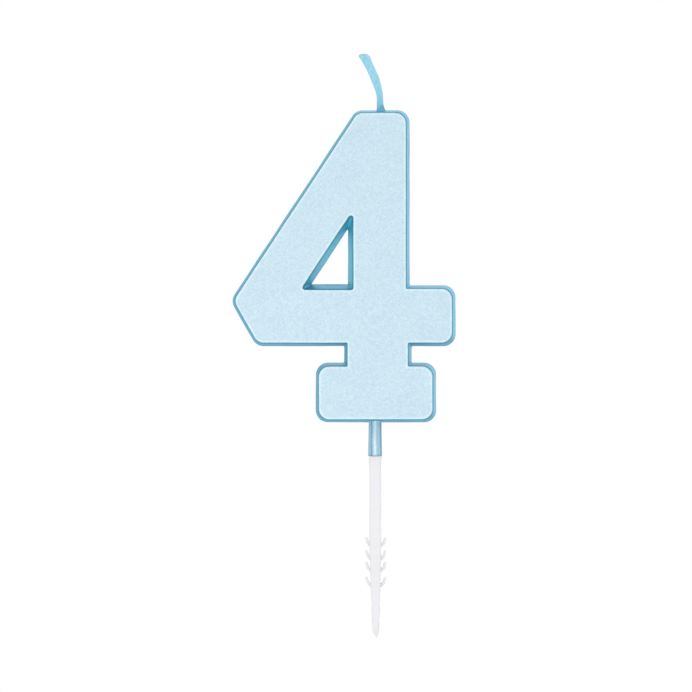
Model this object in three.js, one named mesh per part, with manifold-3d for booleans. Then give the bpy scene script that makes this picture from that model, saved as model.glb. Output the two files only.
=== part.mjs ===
// A birthday candle in the shape of the numeral 4, with its wick and its barbed pick.
//
// Millimetres, +Z up, the front face towards -Y. The origin is on the pick's axis, at the underside of
// the numeral's foot and halfway through its thickness: the point that meets the cake.
//
// The wax numeral is cast in an open mould with its front face down, so every wall has draft: the outline
// is largest, and the triangular counter smallest, at the flat back. A thin coat of colour covers the wax,
// the root of the wick and the top of the pick.
import * as THREE from 'three';
import { mergeVertices } from 'three/addons/utils/BufferGeometryUtils.js';
import Module from 'manifold-3d';

const wasm = await Module();
wasm.setup();

// Numeral, measured at its back edge
const height = 70;
const thickness = 9;
const slant = 1.515; // rise over run of the diagonal stroke, and of the counter's long side
const stemRight = 7.55;
const neck = { left: -7.1, right: 8.0 };
const bar = { top: 30.75, bottom: 17.1, right: 17.85, lowerLeft: -26.8 };
const foot = { halfWidth: 13.5, top: 13.4 };
const leftPoint = { x: -32.65, z: 27.3 };
const outerRadius = 3;
const innerRadius = 0.3;
const arcSteps = 5; // segments in each rounded outer corner

// How the walls run from front to back
const draft = 0.62; // the wall's inward lean at the front
const midLean = draft / 2; // and at the level of the wick and the pick
const frontEdge = 0.3; // width and depth of the rounded front edge
const edgeMiddle = 0.3; // where its middle point stands, as a share of those
const backEdge = 0.2;
const outerSpread = -0.5; // an outer corner's radius changes by this share of the inset
const innerSpread = -0.15; // and an inner corner's by this

// Counter: a right triangle, given by its right-angled corner, its base and the radius of its corners
const counterBack = { x: -6.29, z: 31.0, base: 8.13, radius: 0.2 };
const counterFront = { x: -5.1, z: 29.81, base: 11.5, radius: 0.45 };
const counterRound = 0.25; // flare of the counter's front edge

// Coat of colour
const coatThickness = 0.3;
const gap = 0.2; // left between the coat and what it covers, and round what is cast into the wax
const sleeve = { length: 7.45, topRadius: 1.42, bottomRadius: 1.58, wall: 0.2, lip: 0.08 };
const sleeveFillet = 0.2; // where the sleeve flares into the underside of the foot
// round the wick's root:
const bead = { shift: 0.12, baseRadius: 1.12, topRadius: 1.04, height: 1.5, flare: 0.3 };

// Wick
const wickX = 0.94;
const wickRadius = 0.73;
const wickBottom = 17;
const wickSides = 14;
const wickSteps = 16; // rings along the free end
const wickBend = [ // the free end's cubic curve: its start, two handles and its tip, as [x, z]
  [wickX, 71.8],
  [wickX, 73],
  [wickX, 75.5],
  [-2.72, 82.15],
];
const wickGirth = [ // the free end swells and splays: [share of the way to the tip, radius]
  [0, wickRadius],
  [0.3, wickRadius],
  [0.5, 0.92],
  [0.8, 0.92],
  [0.93, 1.12],
  [1, 1.05],
];
const wickLevelling = [0.75, 0.95]; // shares of the way between which its rings turn level for the cut tip
const wickGap = 0.08; // clearance in the coat's hole and in the wax

// Pick: a square stick with rounded edges, that ends in a spike
const pickTurn = -0.07; // radians; the stick's flats are turned a little from the numeral's face
const pickCorner = 0.3; // the rounding of its edges, as a share of its half-width
// from the point up: half is half the width across the flats, and shift moves it to the right
const pickLevels = [
  { z: -48.05, half: 0.1, shift: 0.25 },
  { z: -46.6, half: 0.7, shift: 0 },
  { z: -43.9, half: 0.84, shift: 0 },
  { z: -38.5, half: 1.01, shift: 0 },
  { z: -37.2, half: 1.07, shift: 0 },
  { z: -30, half: 1.23, shift: 0 },
  { z: -24.5, half: 1.31, shift: 0 },
  { z: -9.6, half: 1.31, shift: 0 },
];
const pickCollar = { half: 1.39, edge: 0.1 }; // the stick widens to this just under the sleeve
const shankRadius = 1.1;
const shankTop = 14;
const shankPoint = { height: 0.5, width: 0.4 }; // how the shank narrows at its top
const anchor = { radius: 1.7, length: 2.2, rim: 0.3, bottoms: [2.6, 6, 9.4] };
const barbTips = [-25.5, -28.4, -31.05, -34.4];
const barbRise = 1.9;
const barbThickness = 0.9; // front to back
const barbTip = { inner: 1.84, outer: 2.34 };
const barbHeel = { inner: 0.4, outer: 1.1, half: 0.45 }; // where it joins the stick; half is half its height
const barbSweep = { under: 2.2, over: 1.65, rise: 0.75 }; // the handles of its two curved sides

// Working values
const roundSides = 20;
const weldDistance = 1e-5;
const overshoot = 1; // how far a cutting solid runs past what it cuts

// ---- solids ----

function toSolid(geometry) {
  geometry.deleteAttribute('normal');
  geometry.deleteAttribute('uv');
  const merged = mergeVertices(geometry, weldDistance);
  const vertProperties = new Float32Array(merged.attributes.position.array);
  const triVerts = new Uint32Array(merged.index.array);
  return new wasm.Manifold(new wasm.Mesh({ numProp: 3, vertProperties, triVerts }));
}

function toGeometry(solid) {
  const mesh = solid.getMesh();
  const geometry = new THREE.BufferGeometry();
  geometry.setAttribute('position', new THREE.BufferAttribute(mesh.vertProperties, 3));
  geometry.setIndex(new THREE.BufferAttribute(mesh.triVerts, 1));
  geometry.computeVertexNormals();
  return geometry;
}

// A lathe about the vertical axis. The profile is a list of [radius, z] that starts and ends on the axis,
// from the bottom up.
function turned(profile, sides = roundSides) {
  const points = profile.map(([radius, z]) => new THREE.Vector2(radius, z));
  return new THREE.LatheGeometry(points, sides).rotateX(Math.PI / 2);
}

// A closed solid through loops with equal numbers of points. Each loop is { y, points }, counterclockwise
// seen from the front, and they run from front to back.
function lofted(loops) {
  const count = loops[0].points.length;
  const positions = loops.flatMap(({ y, points }) => points.flatMap((p) => [p.x, y, p.y]));
  const triangles = [];
  for (let ring = 0; ring < loops.length - 1; ring++) {
    for (let i = 0; i < count; i++) {
      const a = ring * count + i;
      const b = ring * count + ((i + 1) % count);
      triangles.push(a, a + count, b, b, a + count, b + count);
    }
  }
  const last = (loops.length - 1) * count;
  for (const [a, b, c] of THREE.ShapeUtils.triangulateShape(loops[0].points, [])) {
    triangles.push(a, b, c);
  }
  for (const [a, b, c] of THREE.ShapeUtils.triangulateShape(loops.at(-1).points, [])) {
    triangles.push(last + a, last + c, last + b);
  }
  const geometry = new THREE.BufferGeometry();
  geometry.setAttribute('position', new THREE.Float32BufferAttribute(positions, 3));
  geometry.setIndex(triangles);
  return geometry;
}

// ---- outlines ----

// Where the two edges of a corner meet once both have moved inwards by inset
function movedCorner(before, corner, after, inset) {
  const into = corner.clone().sub(before).normalize();
  const out = after.clone().sub(corner).normalize();
  const normalIn = new THREE.Vector2(-into.y, into.x);
  const normalOut = new THREE.Vector2(-out.y, out.x);
  const along = normalIn.add(normalOut);
  return corner.clone().addScaledVector(along, (2 * inset) / along.lengthSq());
}

// Points of a polygon with round corners, moved inwards by inset. Corners are { x, z, radius, spread,
// steps } and run counterclockwise; spread is how much of the inset a corner's radius gains.
function roundedPolygon(corners, inset) {
  const sharp = corners.map(({ x, z }) => new THREE.Vector2(x, z));
  const moved = sharp.map((corner, i) => {
    const before = sharp.at(i - 1);
    const after = sharp[(i + 1) % sharp.length];
    return movedCorner(before, corner, after, inset);
  });
  return moved.flatMap((corner, i) => {
    const before = moved.at(i - 1);
    const after = moved[(i + 1) % moved.length];
    const { radius, spread, steps } = corners[i];
    return roundedCorner(before, corner, after, radius + spread * inset, steps);
  });
}

// The arc that replaces one corner, tangent to both of its edges
function roundedCorner(before, corner, after, radius, steps) {
  const into = corner.clone().sub(before).normalize();
  const out = after.clone().sub(corner).normalize();
  const turn = Math.atan2(into.cross(out), into.dot(out));
  const start = corner.clone().addScaledVector(into, -radius * Math.abs(Math.tan(turn / 2)));
  const side = Math.sign(turn);
  const centre = start.clone().add(new THREE.Vector2(-into.y, into.x).multiplyScalar(side * radius));
  const arm = start.clone().sub(centre);
  const zero = new THREE.Vector2();
  return Array.from({ length: steps + 1 }, (_, i) =>
    arm.clone().rotateAround(zero, (turn * i) / steps).add(centre),
  );
}

const outer = (x, z) => ({ x, z, radius: outerRadius, spread: outerSpread, steps: arcSteps });
const inner = (x, z) => ({ x, z, radius: innerRadius, spread: innerSpread, steps: 2 });

// The 4 without its counter, counterclockwise from the foot's lower left
const numeralCorners = [
  outer(-foot.halfWidth, 0),
  outer(foot.halfWidth, 0),
  outer(foot.halfWidth, foot.top),
  inner(neck.right, foot.top),
  inner(neck.right, bar.bottom),
  outer(bar.right, bar.bottom),
  outer(bar.right, bar.top),
  inner(stemRight, bar.top),
  outer(stemRight, height),
  outer(leftPoint.x + (height - leftPoint.z) / slant, height),
  outer(leftPoint.x, leftPoint.z),
  outer(bar.lowerLeft, bar.bottom),
  inner(neck.left, bar.bottom),
  inner(neck.left, foot.top),
  outer(-foot.halfWidth, foot.top),
];

function counterCorners({ x, z, base, radius }) {
  const at = (px, pz) => ({ x: px, z: pz, radius, spread: -1, steps: 3 });
  return [at(x, z), at(x, z + base * slant), at(x - base, z)];
}

// ---- the numeral, shrunk all over by a depth below its finished surface ----

function numeralBlock(depth) {
  const front = -thickness / 2 + depth;
  const back = thickness / 2 - depth;
  const stations = [
    { y: front, inset: draft + frontEdge },
    { y: front + edgeMiddle * frontEdge, inset: draft + edgeMiddle * frontEdge },
    { y: front + frontEdge, inset: draft },
    { y: back - backEdge, inset: 0 },
    { y: back, inset: backEdge },
  ];
  return lofted(
    stations.map(({ y, inset }) => ({
      y,
      points: roundedPolygon(numeralCorners, inset + depth),
    })),
  );
}

// The counter as a plug that sticks out past both faces
function counterPlug(depth) {
  const front = -thickness / 2 + depth;
  const back = thickness / 2 - depth;
  const slope = (counterFront.x - counterBack.x) / thickness;
  const stations = [
    { y: front - overshoot, shape: counterFront, grow: counterRound + overshoot },
    { y: front, shape: counterFront, grow: counterRound },
    { y: front + counterRound, shape: counterFront, grow: 0 },
    { y: back, shape: counterBack, grow: 0 },
    { y: back + overshoot, shape: counterBack, grow: -slope * overshoot },
  ];
  return lofted(
    stations.map(({ y, shape, grow }) => ({
      y,
      points: roundedPolygon(counterCorners(shape), -(grow + depth)),
    })),
  );
}

function numeral(depth) {
  return toSolid(numeralBlock(depth)).subtract(toSolid(counterPlug(depth)));
}

// ---- pieces ----

// The straight hole that the wick stands in, from below its cut end to above the bead
function wickChannel(clearance) {
  const low = wickBottom - clearance;
  const high = height + bead.height + overshoot;
  const hole = new THREE.CylinderGeometry(
    wickRadius + clearance,
    wickRadius + clearance,
    high - low,
    wickSides,
  );
  return toSolid(hole.rotateX(Math.PI / 2).translate(wickX, 0, (low + high) / 2));
}

function waxCore() {
  return numeral(coatThickness + gap)
    .subtract(wickChannel(wickGap))
    .subtract(toSolid(turned(shankProfile(gap, -1))));
}

function colourCoat() {
  const { length, topRadius, bottomRadius, wall, lip } = sleeve;
  const underside = midLean;
  const top = height - midLean;
  const halfCoat = coatThickness / 2;
  const overPick = turned([
    [0, -length],
    [bottomRadius - lip, -length],
    [bottomRadius, -length + lip],
    [topRadius, underside - sleeveFillet],
    [topRadius + sleeveFillet, underside + halfCoat],
    [0, underside + halfCoat],
  ]);
  const bore = turned([
    [0, -length - overshoot],
    [bottomRadius - wall, -length - overshoot],
    [topRadius - wall, underside + 2 * coatThickness],
    [0, underside + 2 * coatThickness],
  ]);
  const roundWick = turned([
    [0, top - halfCoat],
    [bead.baseRadius + bead.flare, top - halfCoat],
    [bead.baseRadius, top + bead.flare],
    [bead.topRadius, height + bead.height],
    [0, height + bead.height],
  ]).translate(wickX + bead.shift, 0, 0);
  return numeral(0)
    .add(toSolid(overPick))
    .add(toSolid(roundWick))
    .subtract(numeral(coatThickness))
    .subtract(wickChannel(wickGap))
    .subtract(toSolid(bore));
}

// The wick's radius at a share of the way along its free end
function wickRadiusAt(share) {
  const upper = Math.max(1, wickGirth.findIndex(([at]) => at >= share));
  const [before, after] = [wickGirth[upper - 1], wickGirth[upper]];
  return THREE.MathUtils.mapLinear(share, before[0], after[0], before[1], after[1]);
}

// One straight root in the wax, then rings along the curve, which turn level at the cut tip
function wick() {
  const bend = new THREE.CubicBezierCurve3(...wickBend.map(([x, z]) => new THREE.Vector3(x, 0, z)));
  const up = new THREE.Vector3(0, 0, 1);
  const rings = [{ centre: new THREE.Vector3(wickX, 0, wickBottom), direction: up, radius: wickRadius }];
  for (let i = 0; i <= wickSteps; i++) {
    const share = i / wickSteps;
    const level = THREE.MathUtils.smoothstep(share, ...wickLevelling);
    const direction = bend.getTangentAt(share).lerp(up, level).normalize();
    rings.push({ centre: bend.getPointAt(share), direction, radius: wickRadiusAt(share) });
  }
  return toSolid(tube(rings, wickSides));
}

// A closed tube through rings given by their centre, direction and radius
function tube(rings, sides) {
  const deep = new THREE.Vector3(0, 1, 0);
  const positions = rings.flatMap(({ centre, direction, radius }) => {
    const across = new THREE.Vector3().crossVectors(deep, direction);
    return Array.from({ length: sides }, (_, i) => {
      const angle = (2 * Math.PI * i) / sides;
      const point = centre.clone().addScaledVector(across, radius * Math.cos(angle));
      return point.addScaledVector(deep, radius * Math.sin(angle)).toArray();
    }).flat();
  });
  const last = (rings.length - 1) * sides;
  const triangles = [];
  for (let i = 0; i < sides; i++) {
    const next = (i + 1) % sides;
    for (let ring = 0; ring < last; ring += sides) {
      triangles.push(ring + i, ring + next, ring + sides + i);
      triangles.push(ring + next, ring + sides + next, ring + sides + i);
    }
    if (i > 0 && i < sides - 1) {
      triangles.push(0, next, i, last, last + i, last + next);
    }
  }
  const geometry = new THREE.BufferGeometry();
  geometry.setAttribute('position', new THREE.Float32BufferAttribute(positions, 3));
  geometry.setIndex(triangles);
  return geometry;
}

// The part of the pick inside the wax: a thin shank with collars that taper upwards and catch the wax
// below. grow widens it all over, and the profile starts at low.
function shankProfile(grow, low) {
  const collars = anchor.bottoms.flatMap((z) => [
    [shankRadius + grow, z - grow],
    [anchor.radius + grow, z - grow],
    [anchor.radius + grow, z + anchor.rim + grow],
    [shankRadius + grow, z + anchor.length + grow],
  ]);
  return [
    [0, low],
    [shankRadius + grow, low],
    ...collars,
    [shankRadius + grow, shankTop - shankPoint.height + grow],
    [shankRadius + grow - shankPoint.width, shankTop + grow],
    [0, shankTop + grow],
  ];
}

// The pick below the sleeve, as rounded squares from the point up
function stick(shoulder) {
  const collar = [
    { z: shoulder - 2 * pickCollar.edge, half: pickCollar.half, shift: 0 },
    { z: shoulder, half: pickCollar.half - pickCollar.edge, shift: 0 },
  ];
  const loops = [...pickLevels, ...collar].map(({ z, half, shift }) => {
    const at = (x, y) => ({ x: x + shift, z: y, radius: pickCorner * half, spread: 0, steps: 3 });
    const square = [at(-half, -half), at(half, -half), at(half, half), at(-half, half)];
    return { y: z, points: roundedPolygon(square, 0) };
  });
  return toSolid(lofted(loops).rotateX(Math.PI / 2).rotateZ(pickTurn));
}

// One barb, on the +X side: it leaves the stick and sweeps outwards and up to a blunt tip
function barb(tip) {
  const root = tip - barbRise;
  const shape = new THREE.Shape();
  shape.moveTo(barbHeel.inner, root - barbHeel.half);
  shape.lineTo(barbHeel.outer, root - barbHeel.half);
  shape.quadraticCurveTo(barbSweep.under, root, barbTip.outer, tip);
  shape.lineTo(barbTip.inner, tip);
  shape.quadraticCurveTo(barbSweep.over, root + barbSweep.rise, barbHeel.outer, root + barbHeel.half);
  shape.lineTo(barbHeel.inner, root + barbHeel.half);
  const solid = new THREE.ExtrudeGeometry(shape, {
    depth: barbThickness,
    curveSegments: 4,
    bevelEnabled: false,
  });
  return solid.rotateX(Math.PI / 2).translate(0, barbThickness / 2, 0);
}

function pick() {
  const shoulder = -sleeve.length - gap;
  const shank = turned(shankProfile(0, shoulder - gap));
  const barbs = barbTips.flatMap((z) => [barb(z), barb(z).rotateZ(Math.PI)]);
  return [shank, ...barbs].reduce((solid, one) => solid.add(toSolid(one)), stick(shoulder));
}

function piece(name, solid, color, roughness) {
  const material = new THREE.MeshStandardMaterial({ color, roughness, metalness: 0 });
  const mesh = new THREE.Mesh(toGeometry(solid), material);
  mesh.name = name;
  return mesh;
}

const candle = new THREE.Group();
candle.add(piece('wax_core', waxCore(), 0xeef3f2, 0.55));
candle.add(piece('colour_coat', colourCoat(), 0xc4e2f0, 0.42));
candle.add(piece('wick', wick(), 0x9bcde4, 0.8));
candle.add(piece('pick', pick(), 0xf2f2f5, 0.4));

export default candle;
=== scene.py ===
import math

import bpy
import numpy as np
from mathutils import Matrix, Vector
from mathutils.geometry import delaunay_2d_cdt


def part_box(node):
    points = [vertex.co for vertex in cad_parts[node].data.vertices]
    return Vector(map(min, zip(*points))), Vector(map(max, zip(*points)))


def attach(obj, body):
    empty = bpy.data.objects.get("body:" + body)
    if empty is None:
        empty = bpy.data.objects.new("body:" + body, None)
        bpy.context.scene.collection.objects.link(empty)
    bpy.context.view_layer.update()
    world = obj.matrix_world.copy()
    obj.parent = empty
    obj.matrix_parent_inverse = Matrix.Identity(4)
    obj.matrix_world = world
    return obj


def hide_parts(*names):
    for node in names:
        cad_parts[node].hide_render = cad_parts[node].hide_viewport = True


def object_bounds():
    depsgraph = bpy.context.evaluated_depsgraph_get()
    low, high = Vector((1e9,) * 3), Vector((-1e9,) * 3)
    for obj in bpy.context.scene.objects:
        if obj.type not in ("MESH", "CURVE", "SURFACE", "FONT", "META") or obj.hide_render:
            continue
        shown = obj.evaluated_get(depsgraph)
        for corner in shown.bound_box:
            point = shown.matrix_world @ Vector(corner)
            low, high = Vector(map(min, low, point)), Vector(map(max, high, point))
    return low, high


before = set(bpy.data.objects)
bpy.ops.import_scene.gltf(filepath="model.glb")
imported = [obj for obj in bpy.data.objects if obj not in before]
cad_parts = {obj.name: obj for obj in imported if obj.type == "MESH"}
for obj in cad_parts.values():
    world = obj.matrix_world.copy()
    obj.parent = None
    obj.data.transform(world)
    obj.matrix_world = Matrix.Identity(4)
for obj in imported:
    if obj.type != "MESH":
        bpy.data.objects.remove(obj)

# A numeral candle built round its CAD parts. Lengths in the dictionaries are millimetres; addMesh and
# the lights turn them into metres. +Z is up the stem and -Y is out of the front face.
mm = 0.001
cadBox = [list(corner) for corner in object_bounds()]
randomDraw = np.random.default_rng(4)


def boxOf(node):
    low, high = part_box(node)
    return np.array(low) / mm, np.array(high) / mm


coatLow, coatHigh = boxOf("colour_coat")
wickLow = boxOf("wick")[0]
pickLow, pickHigh = boxOf("pick")

cameraView = {
    "lens": 380,  # long, so that the edges stay parallel
    "sensor": 36,
    "span": 154.8,  # what the frame takes in at the candle
    "aimShift": (0.46, 0, 0.1),  # from the middle of the candle's box
    "azimuth": 0.6,
    "elevation": 0.3,
}


def makeCamera(v):
    distance = v["span"] * v["lens"] / v["sensor"]
    turn, rise = math.radians(v["azimuth"]), math.radians(v["elevation"])
    aim = (np.array(cadBox[0]) + cadBox[1]) / 2 / mm + v["aimShift"]
    camera = bpy.data.objects.new("camera", bpy.data.cameras.new("camera"))
    camera.data.lens = v["lens"]
    camera.data.sensor_width = v["sensor"]
    back = np.array([math.sin(turn), -math.cos(turn), math.tan(rise)])
    camera.location = (aim + back * distance) * mm
    camera.rotation_euler = (math.pi / 2 - rise, 0, turn)
    bpy.context.scene.collection.objects.link(camera)
    bpy.context.scene.camera = camera


makeCamera(cameraView)
print("camera in place")


def addMesh(name, points, faces, material, labels=(), values=None, sharpAngle=50):
    # values has a row for each point and a column for each label
    mesh = bpy.data.meshes.new(name)
    mesh.from_pydata((points * mm).tolist(), [], faces)
    for label, column in zip(labels, [] if values is None else values.T):
        mesh.attributes.new(label, "FLOAT", "POINT").data.foreach_set("value", column.astype(np.float32))
    mesh.shade_smooth()
    mesh.set_sharp_from_angle(angle=math.radians(sharpAngle))
    mesh.materials.append(material)
    mesh.update()
    piece = bpy.data.objects.new(name, mesh)
    bpy.context.scene.collection.objects.link(piece)
    return piece


def joinParts(parts):
    # parts are (points, faces, values); the face indices move up by the points that came before
    offset = np.cumsum([0] + [len(points) for points, _, _ in parts])
    points = np.concatenate([part[0] for part in parts])
    faces = [[i + int(shift) for i in face] for part, shift in zip(parts, offset) for face in part[1]]
    return points, faces, np.concatenate([part[2] for part in parts])


def closedTube(rings, startPole, endPole):
    # rings (rows, sides, 3) run along the tube, counterclockwise seen from its end; each end closes in a fan
    rows, sides = rings.shape[:2]
    ring = np.arange(rows * sides).reshape(rows, sides)
    after = np.roll(ring, -1, axis=1)
    pole = np.full(sides, rows * sides)
    quads = np.stack([ring[:-1], after[:-1], after[1:], ring[1:]], axis=-1).reshape(-1, 4)
    startFan = np.stack([after[0], ring[0], pole], axis=-1)
    endFan = np.stack([ring[-1], after[-1], pole + 1], axis=-1)
    points = np.concatenate([rings.reshape(-1, 3), [startPole, endPole]])
    return points, quads.tolist() + startFan.tolist() + endFan.tolist()


def turned(radius, level, sides, centre=(0, 0)):
    # a lathe from its lowest ring to its highest: radius and level are (rows,) or (rows, sides)
    angle = np.linspace(0, 2 * np.pi, sides, endpoint=False)
    radius = np.broadcast_to(np.reshape(radius, (len(radius), -1)), (len(radius), sides))
    level = np.broadcast_to(np.reshape(level, (len(level), -1)), radius.shape)
    rings = np.stack([centre[0] + radius * np.cos(angle), centre[1] + radius * np.sin(angle), level], axis=-1)
    ends = [np.array([*centre, level[i].mean()]) for i in (0, -1)]
    return closedTube(rings, *ends)


def swept(path, across, deep, level=0.0):
    # carries a section along a path in the XZ plane: across (rows, sides) lies in that plane, square to
    # the path, or level where level is 1, and deep (rows, sides) lies along Y
    facing = np.gradient(path, axis=0)
    facing /= np.linalg.norm(facing, axis=1, keepdims=True)
    facing = facing * (1 - level) + np.array([0.0, 0.0, 1.0]) * level
    facing /= np.linalg.norm(facing, axis=1, keepdims=True)
    sideways = np.cross([0.0, 1.0, 0.0], facing)
    return path[:, None] + across[..., None] * sideways[:, None] + deep[..., None] * np.array([0.0, 1.0, 0.0])


def bezier(handles, t):
    # a Bezier curve of any order: Bernstein weights times the handles
    order = len(handles) - 1
    weights = [math.comb(order, i) * t**i * (1 - t) ** (order - i) for i in range(order + 1)]
    return np.stack(weights, axis=1) @ np.array(handles, float)


def smoothStep(low, high, value):
    t = np.clip((value - low) / (high - low), 0, 1)
    return t * t * (3 - 2 * t)


def ripple(points, wavelength, seed):
    # a smooth field between about -1 and 1: eight sine waves in seeded random directions
    draw = np.random.default_rng(seed)
    direction = draw.normal(size=(8, points.shape[1]))
    direction /= np.linalg.norm(direction, axis=1, keepdims=True)
    wave = 2 * np.pi / (wavelength * draw.uniform(0.7, 1.5, 8))
    return np.sin(points @ (direction * wave[:, None]).T + draw.uniform(0, 6.3, 8)).sum(axis=1) / 4


def linear(*rgb):
    # a display colour, 0 to 255, as the linear one that a shader takes
    c = np.array(rgb) / 255
    return [*np.where(c <= 0.04045, c / 12.92, ((c + 0.055) / 1.055) ** 2.4), 1.0]


def addNode(tree, kind, inputs=None, **settings):
    made = tree.nodes.new(kind)
    for key, value in settings.items():
        setattr(made, key, value)
    for key, value in (inputs or {}).items():
        if isinstance(value, bpy.types.NodeSocket):
            tree.links.new(value, made.inputs[key])
        else:
            made.inputs[key].default_value = value
    return made


def newMaterial(name, constants):
    material = bpy.data.materials.new(name)
    material.use_nodes = True
    shader = material.node_tree.nodes["Principled BSDF"]
    for key, value in constants.items():
        shader.inputs[key].default_value = value
    return material, material.node_tree, shader


def placeNoise(tree, scale, detail, roughness=0.5, stretch=(1, 1, 1)):
    # scale counts cells in a metre
    place = addNode(tree, "ShaderNodeTexCoord").outputs["Object"]
    mapped = addNode(tree, "ShaderNodeMapping", {"Vector": place, "Scale": stretch})
    inputs = {"Vector": mapped.outputs["Vector"], "Scale": scale, "Detail": detail, "Roughness": roughness}
    return addNode(tree, "ShaderNodeTexNoise", inputs).outputs["Fac"]


def spread(tree, noise, low, high):
    # a noise lies mostly between 0.25 and 0.75, which becomes low to high
    inputs = {"Value": noise, "From Min": 0.25, "From Max": 0.75, "To Min": low, "To Max": high}
    return addNode(tree, "ShaderNodeMapRange", inputs).outputs["Result"]


def multiplied(tree, a, b):
    return addNode(tree, "ShaderNodeMath", {0: a, 1: b}, operation="MULTIPLY").outputs[0]


def added(tree, a, b):
    return addNode(tree, "ShaderNodeMath", {0: a, 1: b}, operation="ADD").outputs[0]


def attribute(tree, label):
    return addNode(tree, "ShaderNodeAttribute", attribute_name=label).outputs["Fac"]


def blended(tree, share, a, b):
    return addNode(tree, "ShaderNodeMix", {0: share, 6: a, 7: b}, data_type="RGBA").outputs[2]


def shaded(tree, colour, value):
    # a colour made lighter or darker by a number near 1
    return addNode(tree, "ShaderNodeVectorMath", {0: colour, "Scale": value}, operation="SCALE").outputs[0]


def tinted(tree, colour, other):
    # one colour multiplied by another
    return addNode(tree, "ShaderNodeVectorMath", {0: colour, 1: other}, operation="MULTIPLY").outputs[0]


def rampColour(tree, value, stops):
    ramp = addNode(tree, "ShaderNodeValToRGB", {"Fac": value})
    ramp.color_ramp.elements.remove(ramp.color_ramp.elements[1])
    for position, colour in stops[1:]:
        ramp.color_ramp.elements.new(position).color = colour
    ramp.color_ramp.elements[0].position, ramp.color_ramp.elements[0].color = stops[0]
    return ramp.outputs["Color"]


def bumped(tree, shader, height, distance):
    inputs = {"Height": height, "Distance": distance}
    tree.links.new(addNode(tree, "ShaderNodeBump", inputs).outputs["Normal"], shader.inputs["Normal"])


numeral = {
    "height": 70,
    "slant": 1.515,  # rise over run of the diagonal
    "stemRight": 7.55,
    "neck": (-7.1, 8.0),
    "bar": (17.1, 30.75),  # bottom and top
    "barLowerLeft": -26.8,
    "leftPoint": (-32.65, 27.3),
    "footHalf": 13.5,
    "footTop": 13.4,
    "outerRadius": 2.75,
    "innerRadius": 0.3,
    "outerSpread": -0.5,  # what a corner's radius gains for each millimetre of inset
    "innerSpread": -0.15,
    "draft": 0.62,  # how far the walls lean in at the front
    "frontEdge": 0.32,
    "backEdge": 0.22,
    "coat": 0.3,  # thickness of the coat
}
counter = {
    # x and z of the triangle's right angle, its base and the radius of its corners
    "back": (-6.29, 31.0, 8.13, 0.08),
    "front": (-5.1, 29.81, 11.5, 0.45),
    "frontEdge": 0.25,
    "backEdge": 0.15,
}
relief = {
    "faceDepth": 0.01,  # what lies nearer than this to the front or back plane is a face
    "faceWave": 0.018,  # swell of the front face
    "faceWavelength": 9,
    "faceFade": (1, 4),  # distances from the edges at which the swell starts and is full
    "backSink": 0.22,  # the poured side shrinks towards the middle of its strokes
    "sinkFade": (0.5, 4.5),
    "sinkUneven": 0.25,
    "sinkWavelength": 7,
    "edgeWander": 0.03,
    "wanderWavelength": 8,
}
paintedShading = {
    "wallStart": (0.3, 0.5),  # shares of the front and back edges' rounds where the wall's colour is full
    "glintWidth": 0.42,  # a painted highlight: a pale band along the edges of the faces
    "glintFront": (0.7, 0.8),  # how pale: halfway across the band, and on the edge
    "glintBack": 0.4,
    "lineDepth": 0.5,  # and a dark line of painted shade just round the front edge and along the back one
    "backLineDepth": 0.7,
    "backLine": 0.55,
    "counterDepth": 2.4,  # both painted shade lines reach this many times as deep in the counter
    "baseShade": 0.5,  # extra painted shade on the up-facing bottom of the counter
    "baseReach": 0.3,
}
bead = {
    "top": 1.6,
    "leftTop": 0.45,  # its height on the left, as a share of that on the right
    "sunk": 0.3,
    "reach": 0.85,  # height over which it thins to about a third
    "flare": 0.58,  # thickness on the right
    "skin": 0.05,  # thickness all round
    "clear": 0.01,
    # the bead takes this share of the walls' painted-shade colour
    "tone": 0.9,
}
sleeve = {
    "top": 1.42,
    "bottom": 1.57,
    "round": 0.06,
    "shift": -0.16,
    "intoFoot": 0.25,
    "collar": (0.2, 0.12),  # extra radius at the foot, and the height over which it fades
    # painted reflections: dark lines down the stick's edges at these angles, and painted highlights over the
    # flats
    "lines": (-34, 56, 146, 234),  # degrees to the right of the front
    "lineWidth": 6,
    "lineTone": 0.7,
    "lineGroove": 0.02,
    "flats": ((2, 1), (96, 0.5), (186, 1), (-78, 0.5)),  # degrees, and how pale
    "flatWidth": 13,
    "flatSwell": 0.012,
    "rimHeight": 0.18,
    "rimTone": 0.45,
    # the sleeve's ground takes this share of the walls' painted-shade colour
    "tone": 0.32,
}
coatColours = {
    "face": linear(205, 223, 234),
    # the walls' deeper colour is painted shade: the same pearl coat as the face, darker where it turns away
    # from the front light
    "wall": linear(113, 190, 215),
    # the counter's lighter colour is painted light: it makes up for light that does not reach the walls
    # inside the hole
    "counter": linear(158, 243, 255),
    # line: painted shade, dark along the walls' front and back edges and on the counter's base
    "line": linear(64, 142, 165),
    # glint: painted highlight along the edges of the faces and on the sleeve's flats
    "glint": linear(222, 240, 248),
    "metallic": 0.4,
    "ior": 1.3,
    "edgeTint": linear(134, 208, 244),
}


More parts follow.
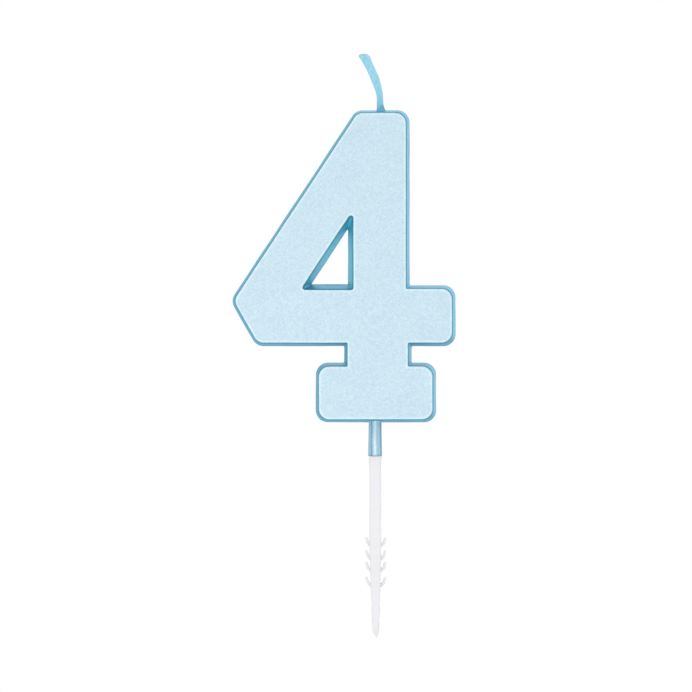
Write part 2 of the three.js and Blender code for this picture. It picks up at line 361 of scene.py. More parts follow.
def numeralCorners(n):
    # x, z, radius and spread of each corner, counterclockwise from the foot's lower left
    def outer(x, z):
        return x, z, n["outerRadius"], n["outerSpread"]

    def inner(x, z):
        return x, z, n["innerRadius"], n["innerSpread"]

    barBottom, barTop = n["bar"]
    leftX, leftZ = n["leftPoint"]
    return np.array([
        outer(-n["footHalf"], 0),
        outer(n["footHalf"], 0),
        outer(n["footHalf"], n["footTop"]),
        inner(n["neck"][1], n["footTop"]),
        inner(n["neck"][1], barBottom),
        outer(coatHigh[0], barBottom),
        outer(coatHigh[0], barTop),
        inner(n["stemRight"], barTop),
        outer(n["stemRight"], n["height"]),
        outer(leftX + (n["height"] - leftZ) / n["slant"], n["height"]),
        outer(leftX, leftZ),
        outer(n["barLowerLeft"], barBottom),
        inner(n["neck"][0], barBottom),
        inner(n["neck"][0], n["footTop"]),
        outer(-n["footHalf"], n["footTop"]),
    ])


def counterCorners(c, share):
    # the triangle between the front one, at share 0, and the back one, at share 1
    x, z, base, radius = (1 - share) * np.array(c["front"]) + share * np.array(c["back"])
    rise = base * numeral["slant"]
    return np.array([(x, z, radius, -1), (x, z + rise, radius, -1), (x - base, z, radius, -1)])


def cornerArcs(corners, inset, steps):
    # each corner moves in along both edges' normals, then gives way to an arc tangent to both edges
    into = corners[:, :2] - np.roll(corners[:, :2], 1, axis=0)
    into /= np.linalg.norm(into, axis=1, keepdims=True)
    out = np.roll(into, -1, axis=0)
    normal = np.stack([-into[:, 1], into[:, 0]], axis=1)
    along = normal + np.roll(normal, -1, axis=0)
    moved = corners[:, :2] + along * (2 * inset / (along**2).sum(axis=1))[:, None]
    turn = np.arctan2(into[:, 0] * out[:, 1] - into[:, 1] * out[:, 0], (into * out).sum(axis=1))
    radius = corners[:, 2] + corners[:, 3] * inset
    start = moved - into * (radius * np.abs(np.tan(turn / 2)))[:, None]
    centre = start + normal * (np.sign(turn) * radius)[:, None]
    arm = (start - centre)[:, :, None]
    angle = turn[:, None] * np.linspace(0, 1, steps + 1)
    x = centre[:, :1] + arm[:, 0] * np.cos(angle) - arm[:, 1] * np.sin(angle)
    z = centre[:, 1:] + arm[:, 0] * np.sin(angle) + arm[:, 1] * np.cos(angle)
    return np.stack([x, z], axis=2)


def runCounts(corners, steps, spacing):
    # how many pieces to cut each straight run into
    arcs = cornerArcs(corners, 0, steps)
    length = np.linalg.norm(np.roll(arcs[:, 0], -1, axis=0) - arcs[:, -1], axis=1)
    return np.maximum(1, np.round(length / spacing)).astype(int)


def outline(corners, inset, steps, counts):
    # arcs joined by straight runs
    arcs = cornerArcs(corners, inset, steps)
    following = np.roll(arcs[:, 0], -1, axis=0)
    loop = []
    for arc, end, count in zip(arcs, following, counts):
        share = np.linspace(0, 1, count + 1)[1:-1, None]
        loop += [arc, arc[-1] * (1 - share) + end * share]
    return np.concatenate(loop)


def inside(points, loop):
    # even-odd rule: how many of the loop's edges lie to the right of each point
    x, z = points[:, :1], points[:, 1:]
    a, b = loop, np.roll(loop, -1, axis=0)
    spans = (a[:, 1] > z) != (b[:, 1] > z)
    rise = np.where(b[:, 1] == a[:, 1], 1e-9, b[:, 1] - a[:, 1])
    crossing = a[:, 0] + (z - a[:, 1]) * (b[:, 0] - a[:, 0]) / rise
    return (spans & (crossing > x)).sum(axis=1) % 2 == 1


def nearest(points, loops):
    edge = np.concatenate(loops)
    return np.sqrt(((points[:, None] - edge) ** 2).sum(axis=2).min(axis=1))


def fillCap(loops, spacing):
    # a hexagonal grid of points inside the loops, and the triangles that join it to them
    low, high = loops[0].min(axis=0), loops[0].max(axis=0)
    columns = np.arange(low[0], high[0], spacing)
    rows = np.arange(low[1], high[1], spacing * math.sqrt(3) / 2)
    x, z = np.meshgrid(columns, rows)
    grid = np.stack([x + (np.arange(len(rows)) % 2)[:, None] * spacing / 2, z], axis=2).reshape(-1, 2)
    grid = grid[inside(grid, loops[0]) & ~inside(grid, loops[1])]
    grid = grid[nearest(grid, loops) > spacing * 0.6]
    points = np.concatenate([*loops, grid])
    firsts = np.cumsum([0] + [len(loop) for loop in loops])
    edges = [(int(first + i), int(first + (i + 1) % len(loop))) for first, loop in zip(firsts, loops)
             for i in range(len(loop))]
    _, _, triangles, source, *_ = delaunay_2d_cdt([Vector(p) for p in points], edges, [], 0, 1e-7)
    triangles = np.array([origin[0] for origin in source])[np.array(triangles)]
    middle = points[triangles].mean(axis=1)
    triangles = triangles[inside(middle, loops[0]) & ~inside(middle, loops[1])]
    a, b, c = (points[triangles[:, i]] for i in range(3))
    area = (b - a)[:, 0] * (c - a)[:, 1] - (b - a)[:, 1] * (c - a)[:, 0]
    triangles[area < 0] = triangles[area < 0][:, ::-1]
    return grid, triangles[np.abs(area) > 1e-5]


def wallProfile(depth, lean, frontRound, backRound, edgeSteps, wallSteps):
    # front to back: a quarter circle off the face, the wall with its lean, a quarter circle to the back
    front, back = coatLow[1] + depth, coatHigh[1] - depth
    angle = np.linspace(0, np.pi / 2, edgeSteps + 1)
    nose = np.stack([lean + frontRound * (1 - np.sin(angle)), front + frontRound * (1 - np.cos(angle))], 1)
    tail = np.stack([backRound * (1 - np.sin(angle)), back - backRound * (1 - np.cos(angle))], 1)[::-1]
    share = (1 - np.cos(np.linspace(0, np.pi, wallSteps + 1)[1:-1, None])) / 2  # closer together at the ends
    rows = np.concatenate([nose, nose[-1] * (1 - share) + tail[0] * share, tail])
    rows[:, 0] += depth
    # two more rings on each face carry the painted highlight band
    rings = [rows[0] + [paintedShading["glintWidth"] * k, 0] for k in (1, 0.5)]
    backRings = [rows[-1] + [paintedShading["glintWidth"] * k, 0] for k in (0.5, 1)]
    return np.concatenate([rings, rows, backRings])


def paintWallShading(rows, frontRound, backRound, isCounter):
    # columns: wall colour (painted shade), counter colour (painted light), dark line (painted shade), pale
    # line (painted highlight)
    fromFront = rows[:, 1] - rows[0, 1]
    fromBack = rows[-1, 1] - rows[:, 1]
    startFront, startBack = paintedShading["wallStart"]
    wall = smoothStep(0, startFront * frontRound, fromFront) * smoothStep(0, startBack * backRound, fromBack)
    deeper = paintedShading["counterDepth"] if isCounter else 1
    # painted shade: dark just round the front edge and along the back one, deeper in the counter
    dark = np.exp(-fromFront / paintedShading["lineDepth"] / deeper)
    dark += paintedShading["backLine"] * np.exp(-fromBack / paintedShading["backLineDepth"] / deeper)
    # painted highlight band along the faces' edges
    pale = np.zeros(len(rows))
    pale[1:3] = paintedShading["glintFront"]
    pale[-3:-1] = paintedShading["glintBack"]
    return np.stack([wall, wall * isCounter, np.clip(dark, 0, 1) * wall, pale], 1)


def numeralShell(depth, spacing, steps, edgeSteps, wallSteps):
    # the numeral's whole surface, depth below its finished one: outer wall, counter wall and two caps
    n, c = numeral, counter
    corners = numeralCorners(n)
    outerRows = wallProfile(depth, n["draft"], n["frontEdge"], n["backEdge"], edgeSteps, wallSteps)
    counts = runCounts(corners, steps, spacing)
    outerLoops = [outline(corners, inset, steps, counts) for inset in outerRows[:, 0]]
    holeRows = wallProfile(depth, 0, c["frontEdge"], c["backEdge"], edgeSteps, wallSteps)
    along = (holeRows[:, 1] - coatLow[1]) / (coatHigh[1] - coatLow[1])
    counts = runCounts(counterCorners(c, 0.5), steps, spacing)
    holeLoops = [outline(counterCorners(c, share), -row[0], steps, counts)
                 for row, share in zip(holeRows, along)]
    wallShadings = [paintWallShading(outerRows, n["frontEdge"], n["backEdge"], 0),
                paintWallShading(holeRows, c["frontEdge"], c["backEdge"], 1)]
    lift = [np.stack([loop[:, 0], np.full(len(loop), row[1]), loop[:, 1]], 1)
            for loops, rows in ((outerLoops, outerRows), (holeLoops, holeRows))
            for loop, row in zip(loops, rows)]
    values = [np.tile(row, (len(loops[0]), 1)) for loops, rows in zip((outerLoops, holeLoops), wallShadings)
              for row in rows]
    # painted shade on the counter's up-facing base, which the lamps light less than its sides
    for loop, value in zip(holeLoops, values[len(outerLoops) :]):
        onBase = np.exp(-(((loop[:, 1] - loop[:, 1].min()) / paintedShading["baseReach"]) ** 2))
        value[:, 2] = np.clip(value[:, 2] + paintedShading["baseShade"] * onBase * value[:, 0], 0, 1)
    outerCount, holeCount = len(outerLoops[0]), len(holeLoops[0])
    outerRing = np.arange(len(outerRows) * outerCount).reshape(len(outerRows), outerCount)
    holeRing = outerRing.size + np.arange(len(holeRows) * holeCount).reshape(len(holeRows), holeCount)
    faces = []
    for ring, inward in ((outerRing, False), (holeRing, True)):
        after = np.roll(ring, -1, axis=1)
        quads = np.stack([ring[:-1], ring[1:], after[1:], after[:-1]], axis=-1).reshape(-1, 4)
        faces += (quads[:, ::-1] if inward else quads).tolist()
    total = outerRing.size + holeRing.size
    for end in (0, -1):
        grid, triangles = fillCap([outerLoops[end], holeLoops[end]], spacing)
        index = np.concatenate([outerRing[end], holeRing[end], total + np.arange(len(grid))])
        triangles = index[triangles]
        faces += (triangles[:, ::-1] if end else triangles).tolist()
        lift.append(np.stack([grid[:, 0], np.full(len(grid), outerRows[end, 1]), grid[:, 1]], 1))
        values.append(np.zeros((len(grid), 4)))
        total += len(grid)
    return np.concatenate(lift), faces, np.concatenate(values)


def castRelief(points, r):
    # the face swells a little, the back sinks towards the middle of each stroke, and the walls wander
    flat = points[:, [0, 2]]
    shapes = [numeralCorners(numeral), counterCorners(counter, 0.5)]
    away = nearest(flat, [outline(shape, 0, 6, runCounts(shape, 6, 1.0)) for shape in shapes])
    front = points[:, 1] < coatLow[1] + r["faceDepth"]
    back = points[:, 1] > coatHigh[1] - r["faceDepth"]
    moved = points.copy()
    swell = r["faceWave"] * smoothStep(*r["faceFade"], away) * ripple(flat, r["faceWavelength"], 11)
    moved[front, 1] += swell[front]
    uneven = 1 + r["sinkUneven"] * ripple(flat, r["sinkWavelength"], 12)
    sink = r["backSink"] * smoothStep(*r["sinkFade"], away) * uneven
    moved[back, 1] -= sink[back]
    walls = ~(front | back)
    wander = np.stack([ripple(points, r["wanderWavelength"], seed) for seed in (13, 14)], 1) * r["edgeWander"]
    moved[walls, 0] += wander[walls, 0]
    moved[walls, 2] += wander[walls, 1]
    return moved


def angleBell(degrees, at, width):
    # a bell curve round one direction: it falls as the exponential of the angle's square
    return np.exp(-((((degrees - at + 180) % 360 - 180) / width) ** 2))


def beadSurface(b, wickX, wickRadius):
    # a lathe round the wick's root whose radius falls off as an exponential, on the right side only
    sides = 48
    angle = np.linspace(0, 2 * np.pi, sides, endpoint=False)
    right = (0.5 + 0.5 * np.cos(angle)) ** 1.5
    seat = numeral["height"] - numeral["draft"] / 2
    share = np.linspace(0, 1, 24)[:, None]
    level = seat - b["sunk"] + (b["top"] + b["sunk"]) * share * (b["leftTop"] + (1 - b["leftTop"]) * right)
    fade = np.exp(-np.maximum(level - seat, 0) / b["reach"]) * (1 - share**4)
    radius = wickRadius + b["clear"] + (b["skin"] + b["flare"] * right) * fade
    points, faces = turned(radius, level, sides, (wickX, 0))
    values = np.zeros((len(points), 4))
    values[:, 0] = b["tone"]
    return points, faces, values


def sleeveSurface(s):
    # a slim cone down the stick, cut straight at its end. Four dark lines down the stick's edges are painted
    # reflections of dark surroundings, and pale bands over the flats between them are painted highlights.
    sides = 96
    bottom, top = coatLow[2], numeral["draft"] / 2 + s["intoFoot"]
    angle = np.linspace(0, np.pi / 2, 4)
    cornerRadius = s["bottom"] - s["round"] * (1 - np.sin(angle))
    cornerLevel = bottom + s["round"] * (1 - np.cos(angle))
    level = np.concatenate([cornerLevel, np.linspace(bottom + s["round"] + 0.15, top, 40)])
    share = (level - bottom) / (top - bottom)
    extra, fade = s["collar"]
    body = s["bottom"] + (s["top"] - s["bottom"]) * share + extra * np.exp((level - top) / fade)
    body[: len(angle)] += cornerRadius - s["bottom"]
    turn = np.linspace(0, 2 * np.pi, sides, endpoint=False)
    fromFront = np.degrees(turn) + 90 + 2 * np.sin(level[:, None] * 1.1)
    lines = sum(angleBell(fromFront, at, s["lineWidth"]) for at in s["lines"])
    pale = sum(angleBell(fromFront, at, s["flatWidth"]) * amount for at, amount in s["flats"])
    # this varies the painted highlight in patches along the sleeve
    glintPatchiness = np.clip(0.75 + 0.25 * np.sin(level[:, None] * 0.9 + 3 * np.cos(turn)), 0, 1)
    rim = np.exp(-(level - bottom) / s["rimHeight"])[:, None]
    dark = np.clip(lines * s["lineTone"] + rim * s["rimTone"], 0, 1)
    radius = body[:, None] - s["lineGroove"] * lines + s["flatSwell"] * pale
    points, faces = turned(radius, level, sides, (s["shift"], 0))
    values = np.zeros((len(points), 4))
    glint = np.clip(pale, 0, 1) * glintPatchiness * (1 - rim)
    columns = [np.full_like(dark, s["tone"]), np.zeros_like(dark), dark, glint]
    values[: dark.size] = np.stack(columns, axis=-1).reshape(-1, 4)
    values[dark.size :, 0] = 1
    return points, faces, values


def coatMaterial(colours):
    constants = {"Metallic": colours["metallic"], "IOR": colours["ior"], "Specular Tint": colours["edgeTint"]}
    material, tree, shader = newMaterial("pearlCoat", constants)
    # the wall colour paints shade on the walls; the bead and the sleeve take shares of it
    colour = blended(tree, attribute(tree, "wall"), colours["face"], colours["wall"])
    # painted light on the counter's walls
    colour = blended(tree, attribute(tree, "counter"), colour, colours["counter"])
    # painted shade lines
    colour = blended(tree, attribute(tree, "line"), colour, colours["line"])
    # painted highlight
    colour = blended(tree, attribute(tree, "glint"), colour, colours["glint"])
    grain = placeNoise(tree, 2300, 2, 0.6)
    cloud = placeNoise(tree, 210, 2)
    drag = placeNoise(tree, 1500, 2, 0.5, (1, 0.08, 1))
    # the grain changes the colour too: bluer where it is dark
    colour = tinted(tree, colour, rampColour(tree, grain, [(0.3, (0.92, 1, 1, 1)), (0.7, (1, 1, 0.98, 1))]))
    colour = shaded(tree, colour, spread(tree, grain, 0.905, 1.095))
    colour = shaded(tree, colour, spread(tree, cloud, 0.995, 1.005))
    tree.links.new(colour, shader.inputs["Base Color"])
    tree.links.new(spread(tree, cloud, 0.4, 0.44), shader.inputs["Roughness"])
    dragMarks = multiplied(tree, drag, attribute(tree, "wall"))
    bumped(tree, shader, added(tree, grain, dragMarks), 0.012 * mm)
    return material


wick = {
    "bend": [(0.94, 71.8), (0.94, 73.0), (0.94, 75.5), (-2.72, 82.15)],  # handles of the free end, x and z
    # level and radius: it swells where the wax has drawn back, and splays at the cut
    "girth": [(69, 0.73), (72.8, 0.73), (74.0, 0.77), (75.4, 0.86), (76.5, 0.94), (79.5, 0.93), (80.3, 0.95),
              (80.9, 1.05), (81.4, 1.2), (81.8, 1.25), (82.15, 1.12)],
    "flatness": 0.94,  # thickness from front to back, as a share of the width
    "pitch": 1.9,  # length of one stitch of the braid
    "lean": 1.4,  # stitches that a strand climbs while it crosses the front
    "relief": 0.05,
    "soakedHeight": (3.2, 0.4),  # above the numeral: wax starts to fill the braid, and fills it
    "levelLength": (2.6, 0.8),  # from the tip: the sections start to turn level, and are level
    "yarns": 15,
    "yarnTwist": 0.6,
    "yarnDepth": 0.03,
    "yarnLength": 1.3,
    "dome": 0.3,
    "domePower": 2.2,
    "roughness": 0.035,
    "fibres": 70,
    "fibreRadius": 0.04,
    "fibreSunk": 0.06,
}


def wickPath(w, count):
    # straight up out of the wax, then one cubic curve; resampled to even steps
    free = bezier(w["bend"], np.linspace(0, 1, 200))
    straight = np.stack([np.full(80, w["bend"][0][0]), np.linspace(wickLow[2], w["bend"][0][1], 80)], 1)
    line = np.concatenate([straight[:-1], free])
    run = np.concatenate([[0], np.cumsum(np.linalg.norm(np.diff(line, axis=0), axis=1))])
    at = np.linspace(0, run[-1], count)
    x, z = np.interp(at, run, line[:, 0]), np.interp(at, run, line[:, 1])
    return np.stack([x, np.zeros(count), z], 1), at


def wickSurface(w):
    # braid: rows of slanted stitches that meet in a V on the front and back, and a groove between columns.
    # The sections turn level towards the tip, because the wick was cut level.
    sides = 64
    path, at = wickPath(w, 620)
    angle = np.linspace(0, 2 * np.pi, sides, endpoint=False)
    fromFront = np.abs((angle + np.pi / 2 + np.pi) % (2 * np.pi) - np.pi)  # 0 at -Y, pi at +Y
    slope = np.where(fromFront < np.pi / 2, fromFront, np.pi - fromFront) / (np.pi / 2)
    wander = 0.12 * np.sin(at * 1.3) + 0.08 * np.sin(at * 3.1)
    stitch = np.abs(np.cos(np.pi * (at[:, None] / w["pitch"] + w["lean"] * slope + wander[:, None])))
    column = 1 - np.exp(-((slope - 0.04) / 0.2) ** 2) * 0.6 - np.exp(-((1 - slope) / 0.2) ** 2) * 0.8
    ridge = np.sqrt(stitch) * 0.7 + column * 0.3
    toTip = at[-1] - at
    girth = np.interp(path[:, 2], *np.array(w["girth"]).T)[:, None]
    soaked = smoothStep(*w["soakedHeight"], path[:, 2] - numeral["height"])[:, None]
    atTip = smoothStep(w["yarnLength"], 0, toTip)[:, None]
    strands = w["yarnDepth"] * np.cos(w["yarns"] * angle + w["yarnTwist"] * at[:, None]) * atTip
    radius = girth - w["relief"] * (1 - ridge) * (1 - 0.8 * soaked) + strands
    level = smoothStep(*w["levelLength"], toTip)[:, None]
    rings = swept(path, radius * np.cos(angle), radius * np.sin(angle) * w["flatness"], level)
    # groove carries painted shade: the colour darkens where the braid sinks between stitches and columns
    groove = 1 - ridge * (1 - 0.3 * soaked)
    return rings, path, np.stack([groove, np.broadcast_to(soaked, ridge.shape)], axis=-1)


def wickTip(w, lastRing):
    # the cut end: rings that shrink towards the middle, on a low dome roughened by the ends of the yarns
    share = np.linspace(0, 1, 10)[1:-1, None, None]
    centre = lastRing.mean(axis=0)
    rings = lastRing * (1 - share) + centre * share
    dome = w["dome"] * (1 - (1 - share[:, :, 0]) ** w["domePower"])
    bump = w["roughness"] * ripple(rings.reshape(-1, 3), 0.6, 21).reshape(rings.shape[:2])
    rings[..., 2] += dome + bump
    return rings, centre + [0, 0, w["dome"] + 0.01]


def fibreTufts(w, centre, radius, draw):
    # loose fibres on the cut end: short thin tubes that lean out from the middle
    count, sunk = w["fibres"], w["fibreSunk"]
    radials = draw.uniform(0, 0.85, count) ** 0.5
    turns = draw.uniform(0, 6.28, count)
    lengths = draw.uniform(0.05, 0.16, count)
    leans = draw.uniform(0.1, 0.6, count)
    share = np.linspace(0, 1, 5)[:, None]
    parts = []
    for radial, turn, length, lean in zip(radials, turns, lengths, leans):
        out = np.array([math.cos(turn), math.sin(turn), 0])
        root = centre + out * radial * radius * 0.9 + [0, 0, 0.26 * (1 - radial ** w["domePower"]) - sunk]
        rise = np.array([0, 0, 1]) * share * (length + sunk)
        spine = root + rise + out * (lean * 0.2 * share**2) * radial
        angle = np.linspace(0, 2 * np.pi, 5, endpoint=False)
        circle = np.stack([np.cos(angle), np.sin(angle), np.zeros(5)], 1)
        rings = spine[:, None] + circle * (w["fibreRadius"] * (1 - 0.5 * share))[..., None]
        points, faces = closedTube(rings, rings[0].mean(axis=0), rings[-1].mean(axis=0))
        parts.append((points, faces, np.tile([0.3, 0.0], (len(points), 1))))
    return parts


def wickMaterial():
    constants = {"IOR": 1.4, "Coat Weight": 0.1, "Coat Roughness": 0.4, "Sheen Weight": 0.1}
    material, tree, shader = newMaterial("waxedCotton", constants)
    # painted shade: lighter on the braid's ridges, darker down in its grooves
    stops = [(0, linear(172, 230, 250)), (0.5, linear(155, 220, 243)), (1, linear(122, 194, 222))]
    colour = rampColour(tree, attribute(tree, "groove"), stops)
    colour = blended(tree, attribute(tree, "soaked"), colour, linear(148, 214, 230))
    yarn = placeNoise(tree, 5200, 3, 0.6)
    streak = placeNoise(tree, 1500, 2, 0.5, (1, 1, 0.25))
    colour = shaded(tree, colour, spread(tree, yarn, 0.93, 1.06))
    colour = shaded(tree, colour, spread(tree, streak, 0.92, 1.08))
    tree.links.new(colour, shader.inputs["Base Color"])
    tree.links.new(spread(tree, yarn, 0.5, 0.7), shader.inputs["Roughness"])
    bumped(tree, shader, yarn, 0.02 * mm)
    return material


pick = {
    "turn": -0.07,  # radians; the stick's flats are turned a little from the numeral's face
    "corner": 0.3,  # rounding of its edges, as a share of its half-width
    # level, half the width across the flats, and shift to the right, from the point up
    "levels": [(-48.02, 0.1, 0.25), (-47.5, 0.38, 0.12), (-46.6, 0.72, 0), (-43.9, 0.86, -0.02),
               (-38.5, 1.02, 0), (-37.2, 1.09, 0), (-30, 1.26, -0.03), (-24.5, 1.34, -0.05),
               (-16, 1.31, -0.04), (-10.3, 1.34, -0.06), (-9, 1.38, -0.08), (-7.7, 1.45, -0.12),
               (-7.5, 1.45, -0.12)],
    "shank": 1.1,
    "anchors": (2.6, 6, 9.4),
    "anchorRadius": 1.7,
    "anchorLength": 2.2,
    "anchorLip": 0.3,
    "barbTips": (-25.5, -28.4, -31.05, -34.4),
    "barbRise": 1.8,
    "barbReach": 2.12,
    "barbHandles": [(0.7, -0.3), (1.6, -0.1), (1.92, 0.55)],  # out from the axis, and up from the root
    "barbHalf": (0.42, 0.27),  # half the thickness at the root and at the tip
    "seam": (-58, 2.5, 0.02),  # a faint moulding line: its angle, half-width in degrees, and depth
    "barbDeep": 0.5,  # half of its thickness front to back
}


def shankSurface(p):
    # the lathe inside the wax: a rod with three collars that taper upwards
    stations = [(p["levels"][-1][0] - 0.2, p["shank"])]
    for low in p["anchors"]:
        wide = p["anchorRadius"]
        stations += [(low, p["shank"]), (low + 0.01, wide), (low + p["anchorLip"], wide)]
        stations += [(low + p["anchorLength"], p["shank"])]
    stations += [(pickHigh[2] - 0.5, p["shank"]), (pickHigh[2] - 0.02, p["shank"] - 0.4)]
    level, radius = np.array(stations).T
    points, faces = turned(radius, level, 32)
    return points, faces, np.zeros((len(points), 0))


def stickSurface(p):
    # a rounded square carried up the axis: at angle t its radius is that of the square's side, h / cos(t),
    # until the corner's circle takes over. A fine moulding line runs down its front.
    sides = 144
    stations = np.array(p["levels"])
    level = np.unique(np.concatenate([stations[:, 0], np.arange(stations[0, 0], stations[-1, 0], 0.25)]))
    half, shift = (np.interp(level, stations[:, 0], stations[:, i])[:, None] for i in (1, 2))
    turn = np.linspace(0, 2 * np.pi, sides, endpoint=False)
    local = np.abs((turn - p["turn"] + np.pi / 4) % (np.pi / 2) - np.pi / 4)  # 0 at a flat's middle
    centre = (1 - p["corner"]) * np.sqrt(2)
    lean = np.pi / 4 - local
    onCorner = centre * np.cos(lean) + np.sqrt(np.maximum(p["corner"] ** 2 - (centre * np.sin(lean)) ** 2, 0))
    onFlat = 1 / np.cos(local)
    unit = np.where(np.tan(local) < 1 - p["corner"], onFlat, onCorner)
    at, halfWidth, depth = p["seam"]
    radius = half * (unit - depth * angleBell(np.degrees(turn), at, halfWidth))
    height = np.broadcast_to(level[:, None], radius.shape)
    rings = np.stack([radius * np.cos(turn) + shift, radius * np.sin(turn), height], axis=-1)
    points, faces = closedTube(rings, rings[0].mean(axis=0) - [0, 0, 0.02], rings[-1].mean(axis=0))
    return points, faces, np.zeros((len(points), 0))


def barbSurface(p, tipLevel, side):
    # a fin that leaves the stick, sweeps out and turns up: a cubic curve with a section that thins
    root = tipLevel - p["barbRise"]
    handles = [(out, root + up) for out, up in p["barbHandles"]] + [(p["barbReach"], tipLevel - 0.1)]
    spine = bezier(handles, np.linspace(0, 1, 18))
    path = np.stack([spine[:, 0] * side, np.zeros(18), spine[:, 1]], 1)
    share = np.linspace(0, 1, 18)[:, None]
    thick, tipThick = p["barbHalf"]
    blunt = np.sqrt(1 - np.clip((share - 0.9) / 0.1, 0, 0.96) ** 2)
    half = (thick * (1 - share) + tipThick * share) * blunt
    deep = p["barbDeep"] * (1 - 0.2 * share) * (0.6 + 0.4 * blunt)
    angle = np.linspace(0, 2 * np.pi, 20, endpoint=False)
    # a superellipse: a box with well-rounded corners
    c, s = np.cos(angle), np.sin(angle)
    rings = swept(path, np.sign(c) * np.abs(c) ** 0.6 * half, np.sign(s) * np.abs(s) ** 0.6 * deep)
    points, faces = closedTube(rings, rings[0].mean(axis=0), rings[-1].mean(axis=0))
    return points, faces, np.zeros((len(points), 0))


def pickMaterial():
    constants = {
        "IOR": 1.49,
        "Subsurface Weight": 0.25,
        "Subsurface Radius": (1.0, 1.0, 1.1),
        "Subsurface Scale": 1.2 * mm,
    }
    material, tree, shader = newMaterial("whitePlastic", constants)
    flow = placeNoise(tree, 900, 2, 0.5, (1, 1, 0.12))
    speck = placeNoise(tree, 4200, 2)
    colour = rampColour(tree, flow, [(0.3, linear(244, 241, 243)), (0.7, linear(248, 245, 247))])
    tree.links.new(colour, shader.inputs["Base Color"])
    tree.links.new(spread(tree, flow, 0.26, 0.36), shader.inputs["Roughness"])
    bumped(tree, shader, added(tree, flow, multiplied(tree, speck, 0.3)), 0.012 * mm)
    return material


def waxMaterial():
    constants = {
        "IOR": 1.44,
        "Subsurface Weight": 0.7,
        "Subsurface Radius": (1.0, 0.9, 0.8),
        "Subsurface Scale": 3 * mm,
    }
    material, tree, shader = newMaterial("paraffin", constants)
    cloud = placeNoise(tree, 260, 3)
    colour = rampColour(tree, cloud, [(0.3, linear(236, 240, 240)), (0.7, linear(246, 248, 247))])
    tree.links.new(colour, shader.inputs["Base Color"])
    tree.links.new(spread(tree, cloud, 0.42, 0.58), shader.inputs["Roughness"])
    bumped(tree, shader, cloud, 0.05 * mm)
    return material


def finishPiece(piece, node):
    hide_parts(node)
    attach(piece, "root")


def makeCoat():
    points, faces, values = numeralShell(depth=0, spacing=0.8, steps=10, edgeSteps=6, wallSteps=12)
    outer = (castRelief(points, relief), faces, values)
    lined = numeralShell(depth=numeral["coat"], spacing=2.5, steps=5, edgeSteps=2, wallSteps=1)
    points, faces, values = lined
    lining = (points, [face[::-1] for face in faces], values)
    collar = beadSurface(bead, wick["bend"][0][0], wick["girth"][0][1])
    points, faces, values = joinParts([outer, lining, collar, sleeveSurface(sleeve)])
    labels = ("wall", "counter", "line", "glint")
    piece = addMesh("numeralCoat", points, faces, coatMaterial(coatColours), labels, values)
    finishPiece(piece, "colour_coat")
    print("coat made:", len(points), "points")


def makeWick():
    rings, path, values = wickSurface(wick)
    tipRings, tipPole = wickTip(wick, rings[-1])
    points, faces = closedTube(np.concatenate([rings, tipRings]), rings[0].mean(axis=0), tipPole)
    tipValues = np.tile([0.55, 0.0], (tipRings.shape[0] * tipRings.shape[1], 1))
    values = np.concatenate([values.reshape(-1, 2), tipValues, [[0.5, 0.0], [0.5, 0.0]]])
    tufts = fibreTufts(wick, path[-1], wick["girth"][-1][1], randomDraw)
    points, faces, values = joinParts([(points, faces, values), *tufts])
    piece = addMesh("braidedWick", points, faces, wickMaterial(), ("groove", "soaked"), values, 70)
    finishPiece(piece, "wick")
    print("wick made:", len(points), "points")


def makePick():
    barbs = [barbSurface(pick, tip, side) for tip in pick["barbTips"] for side in (1, -1)]
    points, faces, _ = joinParts([stickSurface(pick), shankSurface(pick), *barbs])
    piece = addMesh("barbedPick", points, faces, pickMaterial(), sharpAngle=60)
    finishPiece(piece, "pick")
    print("pick made:", len(points), "points")


def finishCore():
    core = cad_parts["wax_core"]
    core.data.materials.clear()
    core.data.materials.append(waxMaterial())


makeCoat()
makeWick()
makePick()
finishCore()


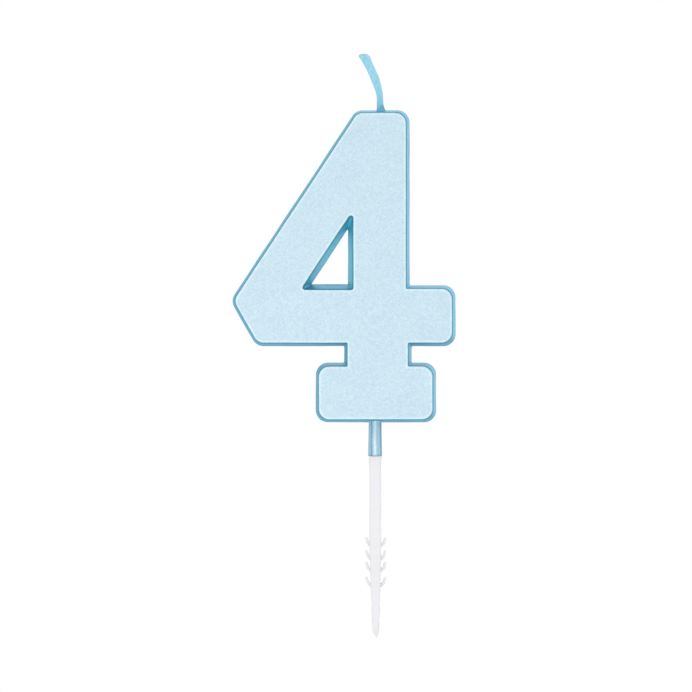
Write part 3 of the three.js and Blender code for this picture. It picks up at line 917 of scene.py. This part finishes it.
studio = {
    "ambient": 0.79,
    "ambientColour": (0.96, 0.98, 1.0, 1.0),
    "floorDrop": 220,  # below the pick's point
    "floorSize": 4000,
}
lamps = [
    # name, place, size, watts
    ("frontBox", (-250, -1500, -50), (900, 400), 2.8),
    ("leftStrip", (-900, -300, 50), (150, 900), 0.5),
    ("rightStrip", (900, -300, 50), (150, 900), 0.5),
    ("backBox", (200, 1500, 300), (900, 900), 2.6),
]


def makeWorld(s):
    world = bpy.data.worlds.new("surroundings")
    bpy.context.scene.world = world
    world.use_nodes = True
    tree = world.node_tree
    tree.nodes.clear()
    ambient = addNode(tree, "ShaderNodeBackground", {"Color": s["ambientColour"], "Strength": s["ambient"]})
    backdrop = addNode(tree, "ShaderNodeBackground", {"Color": (1, 1, 1, 1), "Strength": 1.0})
    direct = addNode(tree, "ShaderNodeLightPath").outputs["Is Camera Ray"]
    mixed = addNode(tree, "ShaderNodeMixShader", {0: direct, 1: ambient.outputs[0], 2: backdrop.outputs[0]})
    addNode(tree, "ShaderNodeOutputWorld", {"Surface": mixed.outputs[0]})


def makeLamp(name, place, size, watts):
    data = bpy.data.lights.new(name, "AREA")
    data.shape = "RECTANGLE"
    data.size, data.size_y = size[0] * mm, size[1] * mm
    data.energy = watts
    lamp = bpy.data.objects.new(name, data)
    lamp.location = Vector(place) * mm
    lamp.rotation_mode = "QUATERNION"
    aim = Vector(((coatLow[0] + coatHigh[0]) / 2, 0, numeral["height"] / 2)) * mm
    lamp.rotation_quaternion = (aim - lamp.location).to_track_quat("-Z", "Y")
    bpy.context.scene.collection.objects.link(lamp)


def makeFloor(s):
    half = s["floorSize"] / 2
    level = pickLow[2] - s["floorDrop"]
    corners = [(-half, -half), (half, -half), (half, half), (-half, half)]
    points = np.array([(x, y, level) for x, y in corners])
    material, _, shader = newMaterial("paleFloor", {"Roughness": 0.8, "Emission Strength": 0.8})
    shader.inputs["Base Color"].default_value = (0.93, 0.93, 0.93, 1)
    shader.inputs["Emission Color"].default_value = (1, 1, 1, 1)
    floor = addMesh("floor", points, [[0, 1, 2, 3]], material)
    floor.visible_diffuse = floor.visible_glossy = False  # white under the candle without lighting it


makeWorld(studio)
for lampFacts in lamps:
    makeLamp(*lampFacts)
makeFloor(studio)
bpy.context.scene.view_settings.view_transform = "Standard"
print("studio made")
